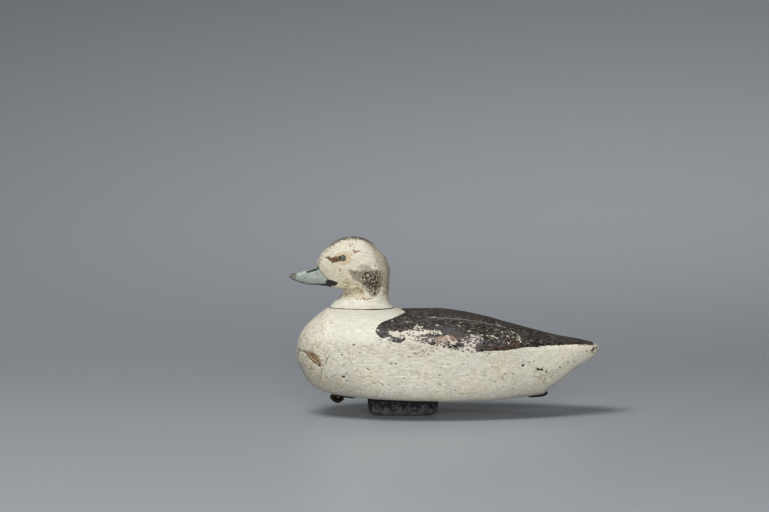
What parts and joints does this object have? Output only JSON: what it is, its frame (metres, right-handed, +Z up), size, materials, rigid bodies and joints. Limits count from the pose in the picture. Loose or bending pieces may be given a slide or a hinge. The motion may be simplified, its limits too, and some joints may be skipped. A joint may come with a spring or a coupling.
{
  "type": "long-tailed duck decoy",
  "caption": "Carved and painted wooden duck decoy with a separate head, glass eyes, a cast keel weight and leather line straps.",
  "frame": {"origin": "on the supporting surface, under the middle of the decoy's length and breadth", "axes": "+X towards the tail, the bill points along -X, +Z up, and +Y is the decoy's right side"},
  "size_m": [0.356, 0.1456, 0.2051],
  "materials": {
    "body_paint": "worn flat oil paint, off-white with a black back",
    "head_paint": "worn flat oil paint, off-white with a grey cheek patch and a blue-grey bill",
    "eye_glass": "glossy, dark, painted from behind",
    "keel_lead": "dull cast lead with a dark oxide skin",
    "strap_leather": "old dark leather, dry",
    "tack_iron": "rusted iron"
  },
  "bodies": {
    "root": {"decoy_body": "body_paint", "decoy_head": "head_paint", "eye_left": "eye_glass", "eye_right": "eye_glass", "keel_weight": "keel_lead", "line_tie": "strap_leather", "line_tie_tack": "tack_iron", "stern_strap": "strap_leather", "stern_strap_tack": "tack_iron"}
  },
  "joints": []
}
